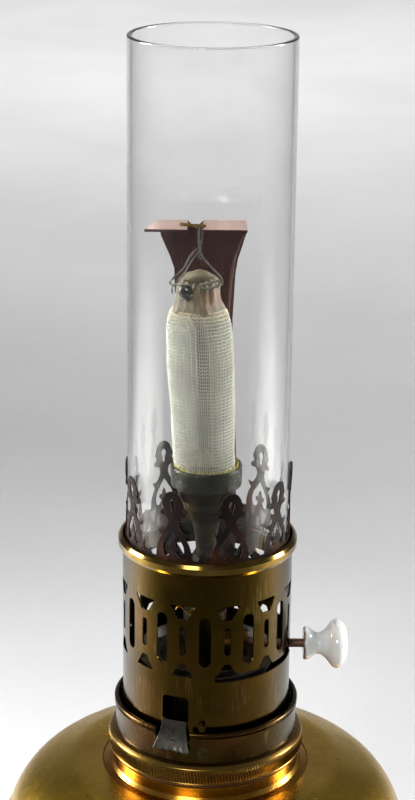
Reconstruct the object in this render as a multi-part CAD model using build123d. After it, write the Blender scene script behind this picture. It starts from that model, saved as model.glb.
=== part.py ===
from build123d import *
import math
import os

# A mantle lamp that burns spirit vapour. Millimetres, +Z up, and the origin is at the middle of the
# foot's underside. The front is -Y and the valve's knob points along +X.
# Heights of the burner count from the underside of the gallery's rolled bead.
# An azimuth is 0 at the front and 90 at the knob, and grows counter-clockwise seen from above.

beadLevel = 205.0  # height of the bead's underside over the table
coreX = -0.6  # the burner's tube stands a little to the left of the font's axis

# Foot and font
footRadius = 60.0
footTop = 44.0
knopTop = 60.0
fontRadius = 65.0
seamLevel = 104.0
sheet = 0.8  # spun brass
neckOuter = 30.0
neckBore = 26.0

# Burner base
ringRadius = 31.4
ringLow = -69.2
ringHigh = -62.2
skirtRadius = 28.9
skirtTop = -51.7
notchAzimuth = -21.0
sleeveOuter = 25.5
wickCount = 4
wickCircle = 10.0
wickRadius = 3.2
vaporiserRadius = 19.0
vaporiserTop = -40.0

# Valve
spindleLevel = -34.3
spindleRadius = 1.375
pinionTeeth = 8
pinionModule = 0.6
pinionPitch = pinionTeeth * pinionModule / 2
knobStart = 30.8
knobEnd = 45.2

# Burner head
rimRadius = 11.1
rimTop = 27.0
conductorFront = 11.3  # y of the copper strip's front face
conductorSheet = 0.8
tabLevel = 100.2

# Mantle
mantleLow = 23.2
mantleTop = 89.0
mantleLean = 2.57  # degrees to the left

# Gallery, crown and glass
galleryRadius = 26.6
gallerySheet = 0.5
galleryLow = -57.0
beadRadius = 28.0
beadHigh = 4.2
slotCount = 12
slotAzimuth = -1.0
crownInner = 25.3
crownSheet = 0.35
prongCount = 9
prongAzimuth = 16.0
ledgeTop = -1.8
glassRadius = 25.0
glassWall = 1.5
glassTop = 158.9


def up(level):
    """Height over the table of a level counted from the bead's underside."""
    return beadLevel + level


def rod(radius, low, high, x=0.0, y=0.0):
    """Upright cylinder between two heights."""
    return Pos(x, y, (low + high) / 2) * Cylinder(radius, high - low)


def tube(outer, inner, low, high, x=0.0, y=0.0):
    """Upright tube between two heights."""
    return rod(outer, low, high, x, y) - rod(inner, low - 1, high + 1, x, y)


def hexagon(flats, low, high, x=0.0):
    """Upright hexagonal prism, sized across its flats."""
    face = RegularPolygon(flats / 2, 6, major_radius=False)
    return Pos(x, 0, low) * extrude(face, high - low)


def turned(points, x=0.0):
    """Solid of revolution about Z from a closed outline of (radius, height)."""
    face = make_face(Polyline(*points, close=True))
    return Pos(x, 0, 0) * revolve(Plane.XZ * face, Axis.Z)


def inset(points, wall, first, last):
    """The points moved by the wall's thickness towards the right of their path."""
    moved = []
    for i, (r, z) in enumerate(points):
        if i == 0:
            dr, dz = first
        elif i == len(points) - 1:
            dr, dz = last
        else:
            dr = points[i + 1][0] - points[i - 1][0]
            dz = points[i + 1][1] - points[i - 1][1]
        run = math.hypot(dr, dz)
        moved.append((r + wall * dz / run, z - wall * dr / run))
    return moved


def spun(points, wall, first, last):
    """Thin shell of revolution; its outline is a curve through the points with these end directions."""
    inner = inset(points, wall, first, last)
    edges = [
        Spline(*points, tangents=[first, last]),
        Line(points[-1], inner[-1]),
        Spline(*inner, tangents=[first, last]),
        Line(inner[0], points[0]),
    ]
    return revolve(Plane.XZ * make_face(edges), Axis.Z)


def ringAt(radius, thickness, height):
    """Round wire ring about Z."""
    return Pos(0, 0, height) * Torus(radius, thickness)


def around(piece, azimuth):
    """A piece that is drawn at the front, turned to its azimuth."""
    return Rot(0, 0, azimuth) * piece


def frontCut(outline, level, near=20.0, far=34.0):
    """Prism that cuts a flat outline through the wall at the front, centred on a level."""
    plane = Plane(origin=(0, -near, up(level)), x_dir=(1, 0, 0), z_dir=(0, -1, 0))
    return extrude(plane * outline, far - near)


def upright(width, height):
    """Upright slot with round ends."""
    return Rot(0, 0, 90) * SlotOverall(height, width)


def alongX(radius, start, end, level):
    """Cylinder along X at a level of the burner."""
    middle = Pos((start + end) / 2, 0, up(level))
    return middle * Rot(0, 90, 0) * Cylinder(radius, end - start)


# ---- foot and font ----


def makeFoot():
    outline = [(59.0, 3.2), (56.0, 7.4), (44.0, 12.8), (30.0, 19.0), (20.5, 29.0), (16.8, 38.0), (16.0, footTop)]
    shell = spun(outline, -sheet, (-0.6, 1), (0, 1))
    return shell + ringAt(footRadius - 2.3, 2.3, 2.3)


def makeFelt():
    return rod(54.5, 0, 1.4)


def makeWeight():
    block = turned([(3.4, 1.5), (41.0, 1.5), (41.0, 8.0), (30.0, 12.0), (3.4, 12.0)])
    return block


def makeTieRod():
    return rod(3.0, 1.5, 68.0)


def makeTieNut():
    return hexagon(10.0, 62.4, 67.0) - rod(3.05, 60, 70)


def makeKnop():
    outline = [
        (3.3, footTop),
        (16.5, footTop),
        (17.5, 46.0),
        (14.5, 48.5),
        (20.0, 51.5),
        (21.0, 54.0),
        (20.0, 56.0),
        (15.0, 58.0),
        (17.5, knopTop),
        (3.3, knopTop),
    ]
    return turned(outline)


def makeFontLower():
    bowl = [
        (17.0, knopTop + 0.9),
        (30.0, 64.5),
        (46.0, 71.5),
        (58.0, 82.0),
        (63.6, 93.0),
        (fontRadius, seamLevel - 0.1),
    ]
    floor = rod(17.3, knopTop + 0.05, knopTop + 1.6) - rod(3.2, 50, 70)
    return spun(bowl, -sheet, (1, 0.2), (0, 1)) + floor


def makeFontUpper():
    shoulder = [
        (fontRadius, seamLevel),
        (64.2, 111.0),
        (61.0, 118.0),
        (55.0, 124.2),
        (45.6, 128.6),
        (33.3, 129.8),
    ]
    return spun(shoulder, -sheet, (0, 1), (-1, 0))


def makeSeamBand():
    band = tube(fontRadius + 1.2, fontRadius + 0.1, seamLevel - 3, seamLevel + 3)
    return fillet(band.edges().filter_by(GeomType.CIRCLE).sort_by(SortBy.RADIUS)[-2:], 0.5)


def makeNeck():
    top = up(ringLow) - 1.0
    outline = [
        (neckBore, top),
        (neckOuter, top),
        (neckOuter + 0.2, top - 3.2),
        (neckOuter + 1.0, top - 4.6),
        (33.1, top - 5.2),
        (33.1, 127.5),
        (neckBore, 127.5),
    ]
    return turned(outline)


def makeWasher():
    return tube(neckOuter - 0.6, neckBore + 0.2, up(ringLow) - 0.97, up(ringLow) - 0.03)


# ---- burner base ----


def makeKnurledRing():
    low = up(ringLow)
    high = up(ringHigh)
    outline = [
        (sleeveOuter + 0.05, low),
        (ringRadius - 0.5, low),
        (ringRadius, low + 0.5),
        (ringRadius, high - 2.2),
        (ringRadius - 0.4, high - 1.2),
        (ringRadius - 1.3, high - 0.4),
        (skirtRadius - 0.2, high),
        (sleeveOuter + 0.05, high),
    ]
    return turned(outline)


def makeSleeve():
    return tube(sleeveOuter, sleeveOuter - 1.3, up(-80), up(ringHigh))


def wickPlaces():
    """Centres of the wicks."""
    places = []
    for i in range(wickCount):
        angle = math.radians(45 + 360 * i / wickCount)
        places.append((wickCircle * math.cos(angle), wickCircle * math.sin(angle)))
    return places


def makeBase():
    wall = 0.8
    floorTop = up(ringHigh) + wall
    body = tube(skirtRadius, skirtRadius - wall, up(ringHigh), up(skirtTop) - 0.8)
    body += rod(skirtRadius - 0.4, up(ringHigh), floorTop)
    body += ringAt(skirtRadius - 0.35, 0.8, up(skirtTop) - 0.8)
    body += tube(skirtRadius + 0.35, skirtRadius - 0.4, up(-54.2), up(-53.5))
    for x, y in wickPlaces():
        body -= rod(wickRadius + 0.8, up(-64), up(-58), x, y)
    notch = frontCut(Rectangle(11.6, 4.4), -52.8, near=26.0)
    return body - around(notch, notchAzimuth)


def makeWickTubes():
    tubes = []
    for x, y in wickPlaces():
        tubes.append(tube(wickRadius + 0.75, wickRadius + 0.25, up(-92), up(-57), x, y))
    return Compound(children=tubes)


def makeWicks():
    wicks = [rod(wickRadius, up(-136), up(-44), x, y) for x, y in wickPlaces()]
    return Compound(children=wicks)


def makeVaporiser():
    low = up(ringHigh) + 0.85
    top = up(vaporiserTop)
    outline = [
        (vaporiserRadius - 1.2, low),
        (vaporiserRadius, low),
        (vaporiserRadius, top - 1.5),
        (vaporiserRadius - 1.5, top),
        (0, top),
        (0, top - 1.2),
        (vaporiserRadius - 1.9, top - 1.2),
        (vaporiserRadius - 1.2, top - 2.0),
    ]
    return turned(outline)


def makePrimingDish():
    low = up(vaporiserTop) + 0.05
    outline = [
        (15.0, low),
        (20.6, low),
        (22.2, low + 3.4),
        (21.5, low + 3.4),
        (20.2, low + 0.7),
        (15.7, low + 0.7),
        (15.7, low + 2.4),
        (15.0, low + 2.4),
    ]
    return turned(outline)


# ---- valve ----


def makeValveBody():
    top = up(-22)
    body = rod(6.8, up(vaporiserTop), top, coreX)
    body += alongX(4.2, coreX + 5, coreX + 9.6, spindleLevel)
    cavity = Pos(coreX, -0.85, up(-32.475)) * Box(6.4, 8.1, 14.55)
    body -= cavity
    body -= rod(0.9, up(-26), top + 1, coreX)
    body -= alongX(spindleRadius + 0.055, coreX, coreX + 12, spindleLevel)
    return body - alongX(2.8, coreX + 6.6, coreX + 12, spindleLevel)


def makePacking():
    ring = alongX(2.75, coreX + 6.65, coreX + 9.55, spindleLevel)
    return ring - alongX(spindleRadius + 0.055, coreX, coreX + 12, spindleLevel)


def makeGlandNut():
    flats = 8.4
    prism = extrude(RegularPolygon(flats / 2, 6, major_radius=False), 4.0)
    nut = Pos(coreX + 9.65, 0, up(spindleLevel)) * Rot(0, 90, 0) * prism
    return nut - alongX(spindleRadius + 0.055, coreX, coreX + 20, spindleLevel)


def makeSpindle():
    shaft = alongX(spindleRadius, coreX + 2.2, 37.0, spindleLevel)
    return shaft + alongX(0.9, coreX - 2.4, coreX + 2.2, spindleLevel)


def makePinion():
    root = pinionPitch - 0.65
    tip = pinionPitch + 0.45
    tooth = make_face(Polyline((root - 0.3, -0.58), (tip, -0.2), (tip, 0.2), (root - 0.3, 0.58), close=True))
    wheel = Circle(root)
    for i in range(pinionTeeth):
        wheel += Rot(0, 0, 360 * i / pinionTeeth) * tooth
    wheel -= Circle(0.95)
    plane = Plane(origin=(coreX - 2.0, 0, up(spindleLevel)), x_dir=(0, -1, 0), z_dir=(1, 0, 0))
    return extrude(plane * wheel, 4.0)


def makeRack():
    """Bar with teeth that mesh with the pinion, and the bridge that carries the needle."""
    pitch = math.pi * pinionModule
    face = pinionPitch + 0.7  # distance of the tooth roots from the spindle's axis
    bar = Pos(coreX, -face - 0.6, up(-34.55)) * Box(3.0, 1.2, 9.5)
    bridge = Pos(coreX, -(face + 0.6) / 2, up(-30.3)) * Box(3.0, face + 1.8, 1.0)
    tooth = make_face(Polyline((0.1, -0.5), (-1.15, -0.16), (-1.15, 0.16), (0.1, 0.5), close=True))
    teeth = Sketch()
    for i in range(4):
        teeth += Pos(0, (0.5 - i) * pitch) * tooth
    plane = Plane(origin=(coreX + 1.5, -face, up(spindleLevel)), x_dir=(0, -1, 0), z_dir=(-1, 0, 0))
    return bar + bridge + extrude(plane * teeth, 3.0)


def makeNeedle():
    tip = Pos(coreX, 0, up(-5.6)) * Cone(0.45, 0.12, 1.2)
    return rod(0.45, up(-29.78), up(-6.2), coreX) + tip


def makeRiser():
    return tube(3.2, 1.2, up(-22), up(-7), coreX)


def makeRiserNut():
    return hexagon(9.5, up(-21.9), up(-16), coreX) - rod(3.25, up(-23), up(-15), coreX)


def makeNozzle():
    body = hexagon(7.0, up(-7), up(-3.4), coreX)
    body += Pos(coreX, 0, up(-2.4)) * Cone(1.9, 1.3, 2.0)
    return body - rod(0.75, up(-8), up(0), coreX)


def makeKnob():
    """Turned about Z first, as (radius, distance along the spindle), then laid along X."""
    reach = knobEnd - knobStart
    edges = [
        Line((2.4, 0), (4.9, 0)),
        Spline((4.9, 0), (5.3, 0.6), (4.5, 2.6), (3.45, 4.5), (4.9, 7.2), (7.4, 9.3), (7.95, 10.6)),
        Spline((7.95, 10.6), (7.5, 12.0), (5.6, 13.5), (2.8, reach - 0.15), (0, reach)),
        Line((0, reach), (0, 6.9)),
        Line((0, 6.9), (2.4, 6.9)),
        Line((2.4, 6.9), (2.4, 0)),
    ]
    body = revolve(Plane.XZ * make_face(edges), Axis.Z)
    return Pos(knobStart, 0, up(spindleLevel)) * Rot(0, 90, 0) * body


def makeKnobInsert():
    bush = alongX(2.35, knobStart + 0.1, knobStart + 6.8, spindleLevel)
    return bush - alongX(spindleRadius + 0.02, knobStart - 1, 37.05, spindleLevel)


# ---- burner head ----


def makeMixingTube():
    outline = [
        (2.3, up(-3.35)),
        (2.95, up(-3.35)),
        (3.3, up(2.0)),
        (4.2, up(6.5)),
        (5.0, up(9.3)),
        (4.4, up(9.3)),
        (3.6, up(6.5)),
        (2.7, up(2.0)),
    ]
    body = turned(outline, coreX)
    for azimuth in (0, 90):
        hole = Pos(coreX, 0, up(1.6)) * Rot(90, 0, azimuth) * Cylinder(1.1, 12)
        body -= hole
    return body


def makeCup():
    outline = [
        (4.5, up(9.35)),
        (6.5, up(9.35)),
        (6.6, up(12.6)),
        (8.1, up(13.4)),
        (8.1, up(14.7)),
        (8.0, up(15.6)),
        (9.2, up(18.6)),
        (10.25, up(22.0)),
        (9.65, up(22.0)),
        (8.6, up(18.8)),
        (7.4, up(15.8)),
        (5.9, up(13.4)),
        (5.8, up(9.95)),
        (4.5, up(9.95)),
    ]
    return turned(outline, coreX)


def makeHeadRim():
    low = up(20.4)
    top = up(rimTop)
    outline = [
        (rimRadius - 0.7, low),
        (rimRadius - 0.2, low),
        (rimRadius - 0.1, up(22.6)),
        (rimRadius, up(23.2)),
        (rimRadius, top - 0.8),
        (rimRadius - 0.2, top - 0.2),
        (rimRadius - 0.5, top),
        (rimRadius - 0.7, top - 0.2),
    ]
    return turned(outline, coreX)


def makeGauze():
    """Shallow dome of wire gauze that closes the burner's mouth."""
    outline = [(0, 21.6), (4.0, 21.1), (7.0, 20.0), (8.6, 19.1), (8.6, 19.6), (7.1, 20.5), (4.1, 21.6), (0, 22.1)]
    return turned([(r, up(z)) for r, z in outline], coreX)


def makeGauzeCollar():
    """Toothed strip of gauze that stands between the rim and the mantle."""
    ring = tube(10.35, 9.95, up(22.05), up(26.6), coreX)
    teeth = 30
    notch = make_face(Polyline((-0.75, 0.6), (0.75, 0.6), (0, -1.2), close=True))
    for i in range(teeth):
        cutter = frontCut(notch, 26.4, near=8.0, far=12.0)
        ring -= Pos(coreX, 0, 0) * around(cutter, 360 * i / teeth)
    return ring


def makeRimLug():
    block = Pos(4.6, 10.0, up(23.9)) * Box(5.6, 2.55, 3.0)
    return block - rod(rimRadius + 0.02, up(20), up(30), coreX)


def makeConductor():
    """Copper strip that stands behind the mantle, spreads at the top and ends in two tabs."""
    back = conductorFront + conductorSheet
    outline = Polyline(
        (8.9, -39.1),
        (8.9, 22),
        (7.0, 70),
        (7.7, 84),
        (8.4, 89),
        (10.9, 97),
        (10.9, tabLevel + conductorSheet),
        (-2.4, tabLevel + conductorSheet),
        (-4.6, 98.6),
        (-7.1, tabLevel + conductorSheet),
        (-16.4, tabLevel + conductorSheet),
        (-15.3, 96),
        (-12.6, 90),
        (-11.2, 86),
        (-11.0, 78),
        (-6.5, 71),
        (-4.0, 66),
        (-3.2, 22),
        (-3.2, -39.1),
        close=True,
    )
    plane = Plane(origin=(0, back, beadLevel), x_dir=(1, 0, 0), z_dir=(0, -1, 0))
    strip = extrude(plane * make_face(outline), conductorSheet)
    left = [(-16.4, back), (-19.9, 0), (-7.1, 0), (-7.1, back)]
    right = [(-2.4, back), (-2.4, 0), (10.9, 0), (10.9, back)]
    for corners in (left, right):
        tab = Pos(0, 0, up(tabLevel)) * extrude(make_face(Polyline(*corners, close=True)), conductorSheet)
        strip += tab
    foot = Pos(2.85, 9.9, up(vaporiserTop) + 0.5) * Box(12.1, 4.4, 0.9)
    return strip + foot - rod(7.0, up(-41), up(-20), coreX) - conductorRivetHoles(0.02)


def conductorRivetHoles(gap):
    """Shanks of the foot's two rivets, or their holes if gap is more than 0."""
    low = up(vaporiserTop) + 0.02
    shanks = [rod(0.9 + gap, low - gap, low + 1.6, x, 9.6) for x in (3.2, 6.6)]
    return Compound(children=shanks)


def makeRivets():
    rivets = []
    for x in (3.2, 6.6):
        low = up(vaporiserTop) + 0.02
        head = rod(1.3, low + 0.98, low + 1.6, x, 9.6)
        rivets.append(rod(0.9, low, low + 1.2, x, 9.6) + head)
    return Compound(children=rivets)


# ---- mantle ----


def leaned(piece):
    """Leans a piece of the mantle to the left about its lower end."""
    foot = (coreX - 0.5, 0, up(mantleLow))
    return Pos(*foot) * Rot(0, -mantleLean, 0) * piece


def makeMantle():
    tall = mantleTop - mantleLow
    edges = [
        Line((0, 0), (9.1, 0)),
        Spline((9.1, 0), (9.3, 4), (9.65, 24), (10.0, 45), (9.3, 51), (7.2, 56.2), (4.6, 60.6), (2.6, tall)),
        Line((2.6, tall), (0, tall)),
        Line((0, tall), (0, 0)),
    ]
    return leaned(revolve(Plane.XZ * make_face(edges), Axis.Z))


def makeThread():
    """Twisted thread that the mantle hangs by, from its gathered head to the pin."""
    return rod(0.45, up(mantleTop) + 0.15, up(101.25), -4.3, 1.5)


def makePin():
    return Pos(-5.35, 1.5, up(101.82)) * Rot(0, 90, 0) * Cylinder(0.5, 7.8)


def makeButton():
    place = Pos(-3.9, 0, up(83.4)) * Rot(0, 0, -28)
    return place * Pos(0, -7.6, 0) * Rot(90, 0, 0) * Cylinder(2.45, 1.3)


# ---- gallery ----


def makeGallery():
    body = tube(galleryRadius, galleryRadius - gallerySheet, up(galleryLow), up(1.0))
    bead = turned(
        [
            (galleryRadius - gallerySheet, up(0.0)),
            (beadRadius - 0.7, up(-0.1)),
            (beadRadius, up(1.0)),
            (beadRadius, up(2.8)),
            (beadRadius - 0.6, up(3.8)),
            (beadRadius - 1.3, up(beadHigh)),
            (galleryRadius - gallerySheet, up(3.4)),
        ]
    )
    body += bead
    step = 360 / slotCount
    large = upright(3.7, 16.7)
    small = upright(2.0, 9.6)
    topGap = make_face(Polyline((-4.1, 2.2), (4.1, 2.2), (1.5, -2.2), (-1.5, -2.2), close=True))
    lowGap = make_face(Polyline((-0.9, 2.2), (0.9, 2.2), (3.6, -2.2), (-3.6, -2.2), close=True))
    for i in range(slotCount):
        azimuth = slotAzimuth + step * i
        body -= around(frontCut(large, -21.85), azimuth)
        body -= around(frontCut(small, -21.9), azimuth + step / 2)
        body -= around(frontCut(topGap, -12.4), azimuth + step / 2)
        body -= around(frontCut(lowGap, -31.7), azimuth + step / 2)
    return body - galleryOpenings()


def galleryOpenings():
    """Window, sight hole, the long slot beside the spindle and the way down for the spindle."""
    arch = Pos(0, -0.8) * Rectangle(8.7, 6.3) + Pos(0, 2.35) * SlotOverall(8.7, 3.2)
    cuts = [around(frontCut(arch, -45.0), notchAzimuth)]
    cuts.append(around(frontCut(Circle(0.9), -52.0), 71))
    cuts.append(around(frontCut(Rectangle(4.2, 26), -32.6 - 13), 90))
    band = Plane.XZ * Pos(galleryRadius, up(-34.25)) * Rectangle(4, 2.5)
    cuts.append(Rot(0, 0, -84) * revolve(band, Axis.Z, 104))
    return Compound(children=cuts)


def makeStuds():
    studs = []
    for azimuth in (-2.4, 117.6, -122.4):
        stud = frontCut(Circle(1.1), -50.3, near=galleryRadius + 0.02, far=galleryRadius + 2.0)
        studs.append(around(stud, azimuth))
    return Compound(children=studs)


def makeSpout():
    """Flared tongue that leads spirit to the window, outside the burner base's notch."""
    top = Plane((0, -galleryRadius - 0.65, up(-49))) * Rectangle(8.2, 0.6)
    bottom = Plane((0, -galleryRadius - 4.0, up(-58))) * Rectangle(12.4, 0.6)
    return around(loft([bottom.face(), top.face()]), notchAzimuth)


def makeLedge():
    return tube(galleryRadius - gallerySheet - 0.05, 22.6, up(ledgeTop) - 0.8, up(ledgeTop))


def prongOutline():
    """One prong as seen from outside: two legs, spurs, a neck and a pierced head."""
    half = [
        (5.6, 3.6),
        (5.45, 8.0),
        (4.4, 10.4),
        (2.9, 12.4),
        (3.95, 13.5),
        (2.5, 14.6),
        (1.45, 16.0),
        (1.6, 17.8),
        (3.2, 19.6),
        (2.9, 21.4),
        (2.7, 23.6),
        (1.5, 25.4),
    ]
    mirrored = [(-x, z) for x, z in reversed(half)]
    face = make_face(Polyline(*half, (0, 26.5), *mirrored, close=True))
    arch = Pos(0, 7.8) * SlotOverall(6.7, 4.6) + Pos(0, 9.9) * Circle(2.3)
    finial = make_face(Polyline((-1.2, 4.0), (1.2, 4.0), (0.9, 7.5), (0, 10.6), (-0.9, 7.5), close=True))
    keyhole = Pos(0, 21.4) * Rot(0, 0, 90) * SlotOverall(4.2, 2.0)
    return face - (arch - finial) - keyhole


def makeCrown():
    outer = crownInner + crownSheet
    wall = tube(outer, crownInner, up(ledgeTop) + 0.02, up(27))
    step = 360 / prongCount
    whole = rod(outer + 1, up(ledgeTop), up(4.8))
    prong = frontCut(prongOutline(), 0)
    bump = frontCut(Pos(0, 4.8) * Circle(1.2), 0)
    for i in range(prongCount):
        whole += around(prong, prongAzimuth + step * i)
        whole += around(bump, prongAzimuth + step * (i + 0.5))
    return wall & whole


def makeChimney():
    glass = tube(glassRadius, glassRadius - glassWall, up(ledgeTop) + 0.3, up(glassTop))
    rims = glass.edges().filter_by(GeomType.CIRCLE).group_by(Axis.Z)[-1]
    return fillet(rims, 0.5)


pieces = {
    "foot": makeFoot,
    "foot_felt": makeFelt,
    "foot_weight": makeWeight,
    "tie_rod": makeTieRod,
    "tie_nut": makeTieNut,
    "waist_knop": makeKnop,
    "font_lower": makeFontLower,
    "font_upper": makeFontUpper,
    "font_seam_band": makeSeamBand,
    "font_neck": makeNeck,
    "neck_washer": makeWasher,
    "knurled_ring": makeKnurledRing,
    "threaded_sleeve": makeSleeve,
    "burner_base": makeBase,
    "wick_tubes": makeWickTubes,
    "wicks": makeWicks,
    "vaporiser": makeVaporiser,
    "priming_dish": makePrimingDish,
    "valve_body": makeValveBody,
    "gland_packing": makePacking,
    "gland_nut": makeGlandNut,
    "valve_spindle": makeSpindle,
    "spindle_pinion": makePinion,
    "needle_rack": makeRack,
    "jet_needle": makeNeedle,
    "vapour_riser": makeRiser,
    "riser_nut": makeRiserNut,
    "jet_nozzle": makeNozzle,
    "porcelain_knob": makeKnob,
    "knob_insert": makeKnobInsert,
    "mixing_tube": makeMixingTube,
    "burner_cup": makeCup,
    "head_rim": makeHeadRim,
    "burner_gauze": makeGauze,
    "gauze_collar": makeGauzeCollar,
    "rim_lug": makeRimLug,
    "heat_conductor": makeConductor,
    "conductor_rivets": makeRivets,
    "mantle": makeMantle,
    "mantle_thread": makeThread,
    "mantle_button": makeButton,
    "hanging_pin": makePin,
    "gallery": makeGallery,
    "gallery_studs": makeStuds,
    "priming_spout": makeSpout,
    "chimney_ledge": makeLedge,
    "crown": makeCrown,
    "glass_chimney": makeChimney,
}

os.makedirs("parts", exist_ok=True)
for name, make in pieces.items():
    export_step(make(), f"parts/{name}.step")
    print(name)
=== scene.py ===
import bpy
import bmesh
import math
import random
from mathutils import Matrix, Vector


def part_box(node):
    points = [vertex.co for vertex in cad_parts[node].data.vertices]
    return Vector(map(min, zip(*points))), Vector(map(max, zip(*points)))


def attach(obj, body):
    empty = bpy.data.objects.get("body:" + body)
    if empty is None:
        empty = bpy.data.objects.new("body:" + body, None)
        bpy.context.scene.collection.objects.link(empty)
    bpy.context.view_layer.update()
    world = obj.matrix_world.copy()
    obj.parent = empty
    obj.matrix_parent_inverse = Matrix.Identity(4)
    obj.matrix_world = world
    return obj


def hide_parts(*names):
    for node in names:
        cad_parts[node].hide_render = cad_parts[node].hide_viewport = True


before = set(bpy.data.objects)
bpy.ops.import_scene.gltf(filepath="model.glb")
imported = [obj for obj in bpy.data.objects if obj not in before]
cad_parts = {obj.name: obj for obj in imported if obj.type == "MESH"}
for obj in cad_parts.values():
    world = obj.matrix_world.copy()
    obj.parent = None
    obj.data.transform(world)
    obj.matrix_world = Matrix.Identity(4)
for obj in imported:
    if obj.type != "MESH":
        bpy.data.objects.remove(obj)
for leftOver in ("Cube", "Light", "Camera"):  # what Blender starts with
    if leftOver in bpy.data.objects:
        bpy.data.objects.remove(bpy.data.objects[leftOver])
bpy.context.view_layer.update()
mm = 0.001
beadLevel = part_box("gallery")[1][2] - 4.2 * mm  # underside of the gallery's rolled bead
print("frame loaded, bead at", round(beadLevel, 4))


def up(level):
    return beadLevel + level * mm  # metres over the table, from millimetres over the bead


# Small helpers for shader trees


def put(tree, kind, inputs=None, **props):
    node = tree.nodes.new(kind)
    for key, value in props.items():
        setattr(node, key, value)
    for key, value in (inputs or {}).items():
        if isinstance(value, bpy.types.NodeSocket):
            tree.links.new(value, node.inputs[key])
        else:
            node.inputs[key].default_value = value
    return node


def calc(tree, operation, first, second=0.0, third=0.0):
    return put(tree, "ShaderNodeMath", {0: first, 1: second, 2: third}, operation=operation).outputs[0]


def span(tree, value, low, high, start=0.0, end=1.0):
    inputs = {"Value": value, "From Min": low, "From Max": high, "To Min": start, "To Max": end}
    return put(tree, "ShaderNodeMapRange", inputs, interpolation_type="SMOOTHSTEP").outputs[0]


def blendColour(tree, factor, first, second, kind="MIX"):
    node = put(tree, "ShaderNodeMix", {0: factor, 6: first, 7: second}, data_type="RGBA", blend_type=kind)
    return node.outputs[2]


def rgb(red, green, blue):
    return (red, green, blue, 1.0)


def noise(tree, vector, scale, detail=4.0, rough=0.55):
    inputs = {"Vector": vector, "Scale": scale, "Detail": detail, "Roughness": rough}
    return put(tree, "ShaderNodeTexNoise", inputs).outputs[0]


def newGroup(name, inputs, outputs):
    tree = bpy.data.node_groups.new(name, "ShaderNodeTree")
    for label, kind, value in inputs:
        socket = tree.interface.new_socket(label, in_out="INPUT", socket_type=kind)
        if value is not None:
            socket.default_value = value
    for label, kind in outputs:
        tree.interface.new_socket(label, in_out="OUTPUT", socket_type=kind)
    return tree, tree.nodes.new("NodeGroupInput").outputs, tree.nodes.new("NodeGroupOutput").inputs


def useGroup(tree, group, inputs):
    node = tree.nodes.new("ShaderNodeGroup")
    node.node_tree = group
    for key, value in inputs.items():
        if isinstance(value, bpy.types.NodeSocket):
            tree.links.new(value, node.inputs[key])
        else:
            node.inputs[key].default_value = value
    return node.outputs


vectorKind, floatKind = "NodeSocketVector", "NodeSocketFloat"


def makeTarnishGroup():
    # cloudy patches with broken edges, for tarnish, rust and stains
    tree, given, result = newGroup(
        "tarnishPatches",
        [
            ("Vector", vectorKind, None), ("Scale", floatKind, 60.0), ("Cover", floatKind, 0.5),
            ("Edge", floatKind, 0.1),
        ],
        [("Mask", floatKind), ("Fine", floatKind)],
    )
    wide = noise(tree, given["Vector"], given["Scale"], 6.0, 0.62)
    fine = noise(tree, given["Vector"], calc(tree, "MULTIPLY", given["Scale"], 9.0), 3.0, 0.6)
    both = calc(tree, "ADD", calc(tree, "MULTIPLY", wide, 0.8), calc(tree, "MULTIPLY", fine, 0.2))
    level = calc(tree, "SUBTRACT", 1.0, given["Cover"])
    shifted = calc(tree, "SUBTRACT", both, calc(tree, "ADD", 0.25, calc(tree, "MULTIPLY", level, 0.5)))
    mask = calc(tree, "DIVIDE", shifted, given["Edge"])
    tree.links.new(calc(tree, "SMOOTH_MIN", calc(tree, "MAXIMUM", mask, 0.0), 1.0, 0.1), result["Mask"])
    tree.links.new(fine, result["Fine"])
    return tree


def makeTurningGroup():
    # fine rings left by spinning and turning, about the lamp's axis
    tree, given, result = newGroup(
        "turningMarks",
        [("Vector", vectorKind, None), ("Fineness", floatKind, 2500.0)],
        [("Height", floatKind)],
    )
    parts = put(tree, "ShaderNodeSeparateXYZ", {0: given["Vector"]}).outputs
    radius = calc(
        tree, "SQRT",
        calc(tree, "ADD", calc(tree, "POWER", parts[0], 2.0), calc(tree, "POWER", parts[1], 2.0)),
    )
    flat = put(tree, "ShaderNodeCombineXYZ", {0: radius, 1: parts[2]}).outputs[0]
    tree.links.new(noise(tree, flat, given["Fineness"], 2.0, 0.7), result["Height"])
    return tree


def makePitGroup():
    # scattered small pits and specks
    tree, given, result = newGroup(
        "smallPits",
        [
            ("Vector", vectorKind, None), ("Scale", floatKind, 260.0), ("Size", floatKind, 0.16),
            ("Share", floatKind, 0.3),
        ],
        [("Mask", floatKind)],
    )
    cells = put(tree, "ShaderNodeTexVoronoi", {"Vector": given["Vector"], "Scale": given["Scale"]})
    pick = put(tree, "ShaderNodeSeparateColor", {0: cells.outputs["Color"]}).outputs[0]
    kept = calc(tree, "LESS_THAN", pick, given["Share"])
    near = span(tree, cells.outputs["Distance"], 0.0, given["Size"], 1.0, 0.0)
    tree.links.new(calc(tree, "MULTIPLY", near, kept), result["Mask"])
    return tree


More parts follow.
